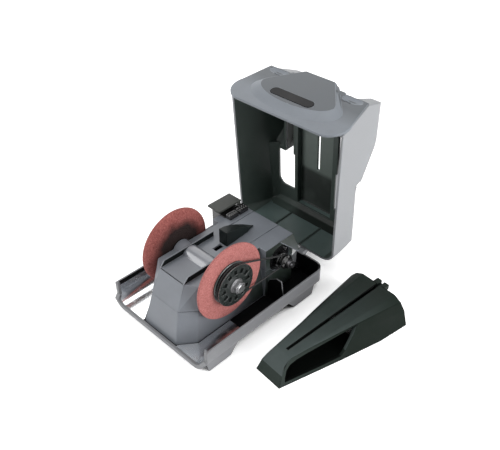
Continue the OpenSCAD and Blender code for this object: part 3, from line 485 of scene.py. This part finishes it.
def lid_side_of(centre, normal):
    """0 outside, and painted light and shade within: 1 inside, 2 on the deck, 3 rear corner, 4 disc
    channel, 5 ledge.
    """
    spot = lid_closed(centre + normal * PROBE)
    across, along, up = abs(spot.x), spot.y, spot.z
    in_channel = CHANNEL_IN < across < CHANNEL_OUT and up > CHANNEL_UP and along < CHANNEL_REAR
    if in_channel and abs(normal.x) > 0.9:
        return 4
    wall = LID_HALF + LID_TAPER * (LID_REAR - along) - LID_DRAFT * (up - LID_RIM)
    if up < FRONT_BEND_UP:
        front = FRONT_FOOT - FRONT_LEAN * (up - FRONT_FOOT_UP)
    else:
        front = FRONT_BEND + FRONT_RAKE * (up - FRONT_BEND_UP)
    rear = LID_REAR - sum(lean * max(0.0, up - bend) for bend, lean in REAR_BENDS)
    roof = HORN_TOP
    if along >= HORN_FALL_FROM:
        roof = max(LID_TOP, HORN_TOP - HORN_FALL * (along - HORN_FALL_FROM))
    if across < DECK_HALF and DECK_FRONT < along < DECK_REAR:
        roof = DECK_TOP
        rear = DECK_WALL_REAR if up > DECK_WALL_UP else rear
    elif across < DECK_HALF or (across < SLOT_OUT and along < SLOT_REAR):
        roof = LID_TOP
    if along > SHOULDER_FROM and across > SHOULDER_IN:
        roof = min(roof, LID_TOP - SHOULDER_FALL * (across - SHOULDER_IN))
    if up < RIM_UP or up > roof - HALF_WALL or across > wall - HALF_WALL:
        return 0
    if not front + HALF_WALL < along < rear - HALF_WALL:
        return 0
    past_x, past_y = across - CORNER_X, along - CORNER_Y
    if past_x > 0 and past_y > 0 and math.hypot(past_x, past_y) > CORNER_RADIUS:
        return 0
    if across < DECK_FACE_HALF and up > DECK_FACE_UP and normal.y < -0.9:
        return 2
    if along > LEDGE_FROM and normal.z > 0.2 and abs(normal.x) < 0.2:
        return 5 if normal.z > 0.97 else 3
    return 1


TRAY_HALF, TRAY_REAR, TRAY_FLOOR = 61.2, 99.2, 4.6
LIP_FRONT, LIP_REAR, LIP_UP = -54.2, -50.3, 12
BULKHEAD_FRONT, BULKHEAD_REAR, BULKHEAD_HALF, BULKHEAD_UP = 47, 52, 58, 9


def tray_side_of(centre, normal):
    """1, painted shade, on the faces that look into the trough, 0 outside, on its front lip and the
    bulkhead's edge.
    """
    spot = in_mm(centre + normal * PROBE)
    across, along, up = abs(spot.x), spot.y, spot.z
    if along < LIP_FRONT or (up > LIP_UP and along < LIP_REAR):
        return 0
    in_bulkhead = BULKHEAD_FRONT < along < BULKHEAD_REAR and across < BULKHEAD_HALF and up > BULKHEAD_UP
    if in_bulkhead and abs(normal.y) < 0.5:
        return 0
    return 1 if across < TRAY_HALF and along < TRAY_REAR and up > TRAY_FLOOR else 0


FLANK_IN = 20
RIB_MIDDLE, RIB_HALF, RIB_FOOT = 15.8, 1.0, 60.9
TUBE_FOOT, TUBE_RADIUS = 60.7, 11.2


def flank_of(centre, normal):
    """1 on the housing's right flank, which takes painted shade, 0 on the rest."""
    return 1 if normal.x > 0.6 and in_mm(centre).x > FLANK_IN else 0


def roof_side_of(centre, normal):
    """1 on the sides of the roof's ribs, painted shade, 2 on the spindle's tube, 3 on the right flank,
    painted shade, 0 on the rest.
    """
    spot = in_mm(centre)
    in_rib = abs(abs(spot.x) - RIB_MIDDLE) < RIB_HALF
    out = math.hypot(spot.y, spot.z - SPINDLE.z / MM)
    if in_rib and spot.z > RIB_FOOT and abs(normal.x) > 0.6:
        return 1
    if not in_rib and spot.z > TUBE_FOOT and out < TUBE_RADIUS and abs(normal.x) < 0.3:
        return 2
    return 3 * flank_of(centre, normal)


PANEL_FACING = Vector((0.0, -0.171, 0.985))
PLATEAU_LIFT = 153.5


def panel_side_of(centre, normal):
    """1 on the panel's raised middle, painted shade, 2 on the slopes and scoops round it, painted light, 0
    on the rest.
    """
    facing = normal.dot(PANEL_FACING)
    if facing > 0.99:
        return 1 if in_mm(centre).dot(PANEL_FACING) > PLATEAU_LIFT else 0
    return 2 if facing > 0.75 else 0


GUIDE_NOSE = at(102.2, -20.9, 0)
GUIDE_TURN = math.radians(5)
GUIDE_ACROSS = Vector((math.cos(GUIDE_TURN), -math.sin(GUIDE_TURN), 0.0))
GUIDE_PLATE_UP, GUIDE_CEILING_UP, GUIDE_TOP_UP = 4, 5, 6


def guide_side_of(centre, normal):
    """1 on the guide's top, painted light, 2 in its hollow and slot, painted shade, 0 on its sides."""
    up = centre.z / MM
    side = math.copysign(1.0, (centre - GUIDE_NOSE).dot(GUIDE_ACROSS))
    faces_in = normal.dot(GUIDE_ACROSS) * side < -0.3
    ceiling = normal.z < -0.3 and up > GUIDE_CEILING_UP
    plate = normal.z > 0.9 and up < GUIDE_PLATE_UP
    if faces_in or ceiling or plate:
        return 2
    flat = normal.z > 0.85 or (normal.z > 0.5 and abs(normal.x) < 0.3)
    return 1 if flat and up > GUIDE_TOP_UP else 0


soften("base_tray", 0.6, PALE, TROUGH_SHADE, choose=tray_side_of, limit=FAINT_CREASE)
soften("lower_housing", 0.8, CHARCOAL, FLANK_SHADE, choose=flank_of, limit=FAINT_CREASE)
soften("upper_housing", 0.4, CHARCOAL, FIN_AND_RIB_SHADE, TUBE, FLANK_SHADE, choose=roof_side_of, limit=FAINT_CREASE)
soften("guide_fin", 0.8, FIN_AND_RIB_SHADE, limit=FAINT_CREASE)
soften("left_disc", 0.5, GRIT_SHADED)
soften("right_disc", 0.5, GRIT)
soften("left_disc_hub", 0.4, BLACK)
soften("right_disc_hub", 0.4, BLACK)
soften("drive_pulley", 0.35, PULLEY)
soften("left_spindle_nut", 0.3, NUT)
soften("right_spindle_nut", 0.3, NUT)
soften("motor_pulley", 0.35, BLACK)
soften("pulley_screw", 0.3, DULL)
soften("spindle_shaft", 0.5, STEEL)
soften("motor_shaft", 0.4, DULL)
soften("switch_box", 0.5, BLACK)
soften("power_button", 0.5, SWITCH)
soften("front_terminal_block", 0.4, BLACK)
soften("rear_terminal_block", 0.4, BLACK)
soften("lid_shell", 0.8, GREY, SHADE, DECK_LIGHT_AND_SHADE, CORNER_SHADE_AND_LIGHT, CHANNEL_SHADE, LEDGE_LIGHT, choose=lid_side_of, limit=15.0)
soften("left_disc_hood", 0.3, HOOD_SHADE)
soften("right_disc_hood", 0.3, HOOD_SHADE)
soften("lid_front_panel", 0.5, PANEL, PLATEAU_SHADE, SLOPE_LIGHT, choose=panel_side_of, limit=16.0)
soften("badge_plate", 0.25, BADGE)
soften("guide_body", 0.6, GUIDE, GUIDE_TOP_LIGHT, HOLLOW_SHADE, choose=guide_side_of, limit=FAINT_CREASE)
soften("guide_key", 0.5, GUIDE_TOP_LIGHT)
for name in ("left_spark_guard", "right_spark_guard"):
    paint(name, MIRROR)
for name in ("left_bearing", "right_bearing", "motor_can", "motor_screws", "base_screws", "panel_screws",
             "button_pin", "hinge_pins"):
    paint(name, STEEL)
for name in ("motor_front_plate", "motor_rear_cap"):
    paint(name, BLACK)
paint("foot_pads", PAD)


# Pieces that follow a path or repeat

class Recipe:
    """A geometry node group: its inputs by name, its nodes and a single way to make them."""

    def __init__(self, name, **kinds):
        self.group = bpy.data.node_groups.new(name, "GeometryNodeTree")
        self.plug("Geometry", "INPUT", "Geometry")
        for key, kind in kinds.items():
            self.plug(key.replace("_", " "), "INPUT", kind)
        self.plug("Geometry", "OUTPUT", "Geometry")
        self.source = self.group.nodes.new("NodeGroupInput")

    def plug(self, name, way, kind):
        self.group.interface.new_socket(name, in_out=way, socket_type="NodeSocket" + kind)

    def given(self, name):
        return self.source.outputs[name]

    def node(self, kind, inputs, out=0, **settings):
        made = self.group.nodes.new(kind)
        for key, value in settings.items():
            setattr(made, key, value)
        for key, value in inputs.items():
            if isinstance(value, bpy.types.NodeSocket):
                self.group.links.new(value, made.inputs[key])
            else:
                made.inputs[key].default_value = value
        return made.outputs[out]

    def close(self, geometry):
        """Ends the group with real geometry in the material that it is given."""
        real = self.node("GeometryNodeRealizeInstances", {"Geometry": geometry})
        painted = self.node("GeometryNodeSetMaterial",
                            {"Geometry": real, "Material": self.given("Material")})
        end = self.group.nodes.new("NodeGroupOutput")
        self.group.links.new(painted, end.inputs[0])

    def make(self, name, points, edges, **values):
        """A baked mesh from the group's work on a set of points and edges."""
        mesh = bpy.data.meshes.new(name)
        mesh.from_pydata(points, edges, [])
        made = keep(bpy.data.objects.new(name, mesh))
        work = made.modifiers.new("recipe", "NODES")
        work.node_group = self.group
        for item in self.group.interface.items_tree:
            key = item.name.replace(" ", "_")
            if item.in_out == "INPUT" and key in values:
                work[item.identifier] = values[key]
        return bake(made)


BELT_X = SPINDLE.x + 41.1 * MM
BELT_BIG, BELT_SMALL = 19.45 * MM, 5.75 * MM
BELT_BIG_STEPS, BELT_SMALL_STEPS = 72, 36
BELT_CORD, BELT_SIDES = 0.85 * MM, 14


def belt_run():
    """The belt's middle line round the two pulleys, as a closed run of points."""
    lead = MOTOR - SPINDLE
    reach = math.hypot(lead.y, lead.z)
    slope = math.atan2(lead.z, lead.y)
    start = math.pi / 2 - math.asin((BELT_BIG - BELT_SMALL) / reach)
    flat = []
    for step in range(BELT_BIG_STEPS + 1):
        turn = start + step * (2 * math.pi - 2 * start) / BELT_BIG_STEPS
        flat.append((BELT_BIG * math.cos(turn), BELT_BIG * math.sin(turn)))
    for step in range(BELT_SMALL_STEPS + 1):
        turn = -start + step * 2 * start / BELT_SMALL_STEPS
        flat.append((reach + BELT_SMALL * math.cos(turn), BELT_SMALL * math.sin(turn)))
    return [(BELT_X, SPINDLE.y + y * math.cos(slope) - z * math.sin(slope),
             SPINDLE.z + y * math.sin(slope) + z * math.cos(slope)) for y, z in flat]


def round_belt():
    """The belt as a round cord pulled along the run between the two pulleys."""
    recipe = Recipe("round_cord", Cord_Radius="Float", Sides="Int", Material="Material")
    path = recipe.node("GeometryNodeMeshToCurve", {"Mesh": recipe.given("Geometry")})
    ring = recipe.node("GeometryNodeCurvePrimitiveCircle",
                       {"Resolution": recipe.given("Sides"), "Radius": recipe.given("Cord Radius")})
    tube = recipe.node("GeometryNodeCurveToMesh", {"Curve": path, "Profile Curve": ring})
    recipe.close(recipe.node("GeometryNodeSetShadeSmooth", {0: tube}))
    points = belt_run()
    edges = [(i, (i + 1) % len(points)) for i in range(len(points))]
    made = recipe.make("round_belt", points, edges, Cord_Radius=BELT_CORD, Sides=BELT_SIDES,
                       Material=RUBBER)
    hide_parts("drive_belt")
    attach(made, frame["nodes"]["drive_belt"]["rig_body"])


HEAD_RADIUS, HEAD_RISE, HEAD_SPREAD = 1.15 * MM, 0.1 * MM, 0.1
HEAD_ROWS, HEAD_COLUMNS = 4, 2
ROW_PITCH, COLUMN_PITCH = 2.7 * MM, 3.0 * MM


def head_points():
    """Where the terminals' heads sit, in rows on the two blocks."""
    points = []
    for node in ("front_terminal_block", "rear_terminal_block"):
        low, high = (Vector(corner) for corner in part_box(node))
        middle_x, middle_y = (low.x + high.x) / 2, (low.y + high.y) / 2
        for row in range(HEAD_ROWS):
            for column in range(HEAD_COLUMNS):
                points.append(Vector((middle_x + (column - (HEAD_COLUMNS - 1) / 2) * COLUMN_PITCH,
                                      middle_y + (row - (HEAD_ROWS - 1) / 2) * ROW_PITCH,
                                      high.z + HEAD_RISE)))
    return points


def terminal_heads():
    """The terminals' round heads, one on each point, with small differences in size."""
    recipe = Recipe("round_heads", Radius="Float", Spread="Float", Seed="Int", Material="Material")
    ball = recipe.node("GeometryNodeMeshUVSphere",
                       {"Segments": 16, "Rings": 10, "Radius": recipe.given("Radius")})
    smooth = recipe.node("GeometryNodeSetShadeSmooth", {0: ball})
    low = recipe.node("ShaderNodeMath", {0: 1.0, 1: recipe.given("Spread")}, operation="SUBTRACT")
    size = recipe.node("FunctionNodeRandomValue", {2: low, 3: 1.0, "Seed": recipe.given("Seed")}, out=1)
    recipe.close(recipe.node("GeometryNodeInstanceOnPoints",
                             {"Points": recipe.given("Geometry"), "Instance": smooth, "Scale": size}))
    made = recipe.make("terminal_heads", head_points(), [], Radius=HEAD_RADIUS, Spread=HEAD_SPREAD, Seed=4,
                       Material=BLACK)
    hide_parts("terminal_screws")
    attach(made, frame["nodes"]["terminal_screws"]["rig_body"])


round_belt()
terminal_heads()


# Stage, light and camera

FLOOR_HALF = 6.0
FLOOR_GLOW = (0.46, 0.46, 0.46, 1)
GLOW_NEAR, GLOW_FAR = 0.4, 1.6
CLOSED_IN = 60 * MM
GLOW_OPEN = (0.16, 0.32)
PALE_OPEN = (0.1, 0.2)


def floor():
    """A pale floor that shows white, with a painted shadow only where a piece closes it in."""
    mesh = bpy.data.meshes.new("floor")
    corners = [(x * FLOOR_HALF, y * FLOOR_HALF, 0) for x, y in ((-1, -1), (1, -1), (1, 1), (-1, 1))]
    mesh.from_pydata(corners, [], [(0, 1, 2, 3)])
    sheet = Sheet("pale_floor", Roughness=0.9, Emission_Strength=0.9)
    cloud = sheet.ramp(sheet.noise(3.0, 2.0), 0.2, 0.8)
    pale = sheet.mix(cloud, tone(248, 248, 248), tone(251, 251, 251))
    away = sheet.ramp(sheet.reach(SPINDLE, FROM_ABOVE), GLOW_NEAR, GLOW_FAR)
    glow = sheet.mix(away, FLOOR_GLOW, WHITEST)
    free = sheet.node("ShaderNodeAmbientOcclusion", {"Distance": CLOSED_IN}, out="AO", samples=24)
    # Painted shadow: where a piece closes the floor in, its glow and its colour go dark
    sheet.feed("Emission Color", sheet.mix(sheet.seen() * sheet.ramp(free, *GLOW_OPEN), BLACKEST, glow))
    sheet.feed("Base Color", sheet.mix(sheet.ramp(free, *PALE_OPEN), tone(30, 30, 30), pale))
    mesh.materials.append(sheet.material)
    keep(bpy.data.objects.new("floor", mesh))


def world(strength):
    """Even light of one strength on the object, with a background that shows white."""
    sky = Sky("studio")
    sky.close(sky.node("ShaderNodeMixShader", {0: sky.seen(), 1: sky.background(strength),
                                               2: sky.background(1.0)}))
    SCENE.world = sky.world


def softbox(name, place, aim, size, power):
    """A square soft light, its side in metres and its power in watts, turned towards a point."""
    lamp = bpy.data.lights.new(name, "AREA")
    lamp.size = size
    lamp.energy = power
    made = keep(bpy.data.objects.new(name, lamp))
    made.location = place
    made.rotation_euler = (aim - place).to_track_quat("-Z", "Y").to_euler()


def camera():
    """The photo's view, from a camera fitted to the tray, the discs and the lid."""
    lens = bpy.data.cameras.new("photo_camera")
    lens.lens = 46.69
    lens.sensor_width = 36.0
    lens.sensor_fit = "HORIZONTAL"
    made = keep(bpy.data.objects.new("photo_camera", lens))
    right = Vector((0.7144, 0.6998, 0.0))
    up = Vector((-0.4222, 0.4310, 0.7975))
    back = Vector((0.558, -0.5697, 0.6033))
    turn = Matrix((right, up, back)).transposed().to_4x4()
    place = at(343.2, -287.9, 434.7)
    made.matrix_world = Matrix.Translation(place) @ turn
    SCENE.camera = made


MIDDLE = at(20, 60, 70)

floor()
world(0.2)
softbox("key", at(1077, 208, 336), MIDDLE, 0.8, 15.0)
softbox("fill", at(-540, -910, 730), MIDDLE, 1.0, 12.8)
softbox("top", at(60, 0, 1150), at(40, 50, 40), 1.2, 6.5)
softbox("card", at(-715, 644, 732), at(-45, -40, 8), 1.0, 4.0)
camera()
SCENE.view_settings.view_transform = "Standard"
